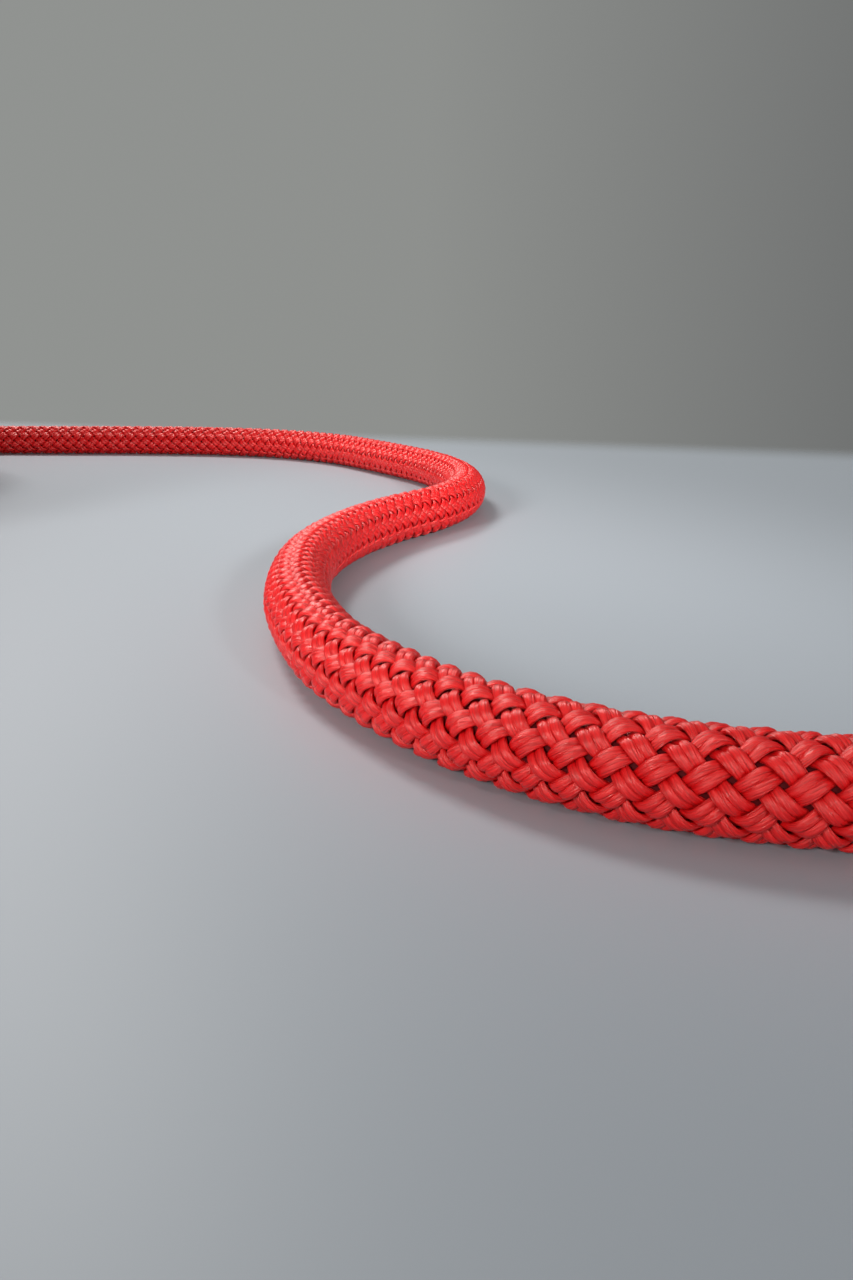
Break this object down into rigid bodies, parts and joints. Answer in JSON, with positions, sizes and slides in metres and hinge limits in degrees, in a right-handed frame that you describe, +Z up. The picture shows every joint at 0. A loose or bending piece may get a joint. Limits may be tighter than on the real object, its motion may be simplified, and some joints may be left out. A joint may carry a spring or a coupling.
{
  "type": "dynamic climbing rope",
  "caption": "Red kernmantle climbing rope: one end laid out in a loose S, the rest put away as a tied hank beside it.",
  "frame": {"origin": "on the surface that the rope lies on, under the middle of the whole rope's bounding box", "axes": "+Z up from the resting surface; +X from the hank towards the laid-out end; +Y along the hank's runs, towards the fold where the rope leaves it"},
  "size_m": [0.39, 0.3541, 0.0854],
  "materials": {
    "sheath_nylon": "braided bright nylon yarn, red, slightly glossy",
    "core_nylon": "twisted undyed nylon yarn, off-white",
    "tape_film": "thin plain yellow film, no lettering",
    "sleeve_film": "shrunk dark polyolefin film, satin",
    "fused_nylon": "melted and set nylon, dark red",
    "tie_webbing": "woven polyester webbing, charcoal"
  },
  "bodies": {
    "root": {"sheath_run": "sheath_nylon", "hank_turns": "sheath_nylon", "tail_rope": "sheath_nylon", "core_strand_01": "core_nylon", "core_strand_02": "core_nylon", "core_strand_03": "core_nylon", "core_strand_04": "core_nylon", "core_strand_05": "core_nylon", "core_strand_06": "core_nylon", "core_strand_07": "core_nylon", "core_strand_08": "core_nylon", "core_strand_09": "core_nylon", "core_strand_10": "core_nylon", "core_strand_11": "core_nylon", "core_strand_12": "core_nylon", "marker_tape": "tape_film", "end_sleeve_run": "sleeve_film", "fused_end_run": "fused_nylon", "end_sleeve_tail": "sleeve_film", "fused_end_tail": "fused_nylon", "tie_band_1": "tie_webbing", "tie_band_2": "tie_webbing", "tie_band_3": "tie_webbing", "tie_band_4": "tie_webbing"}
  },
  "joints": []
}
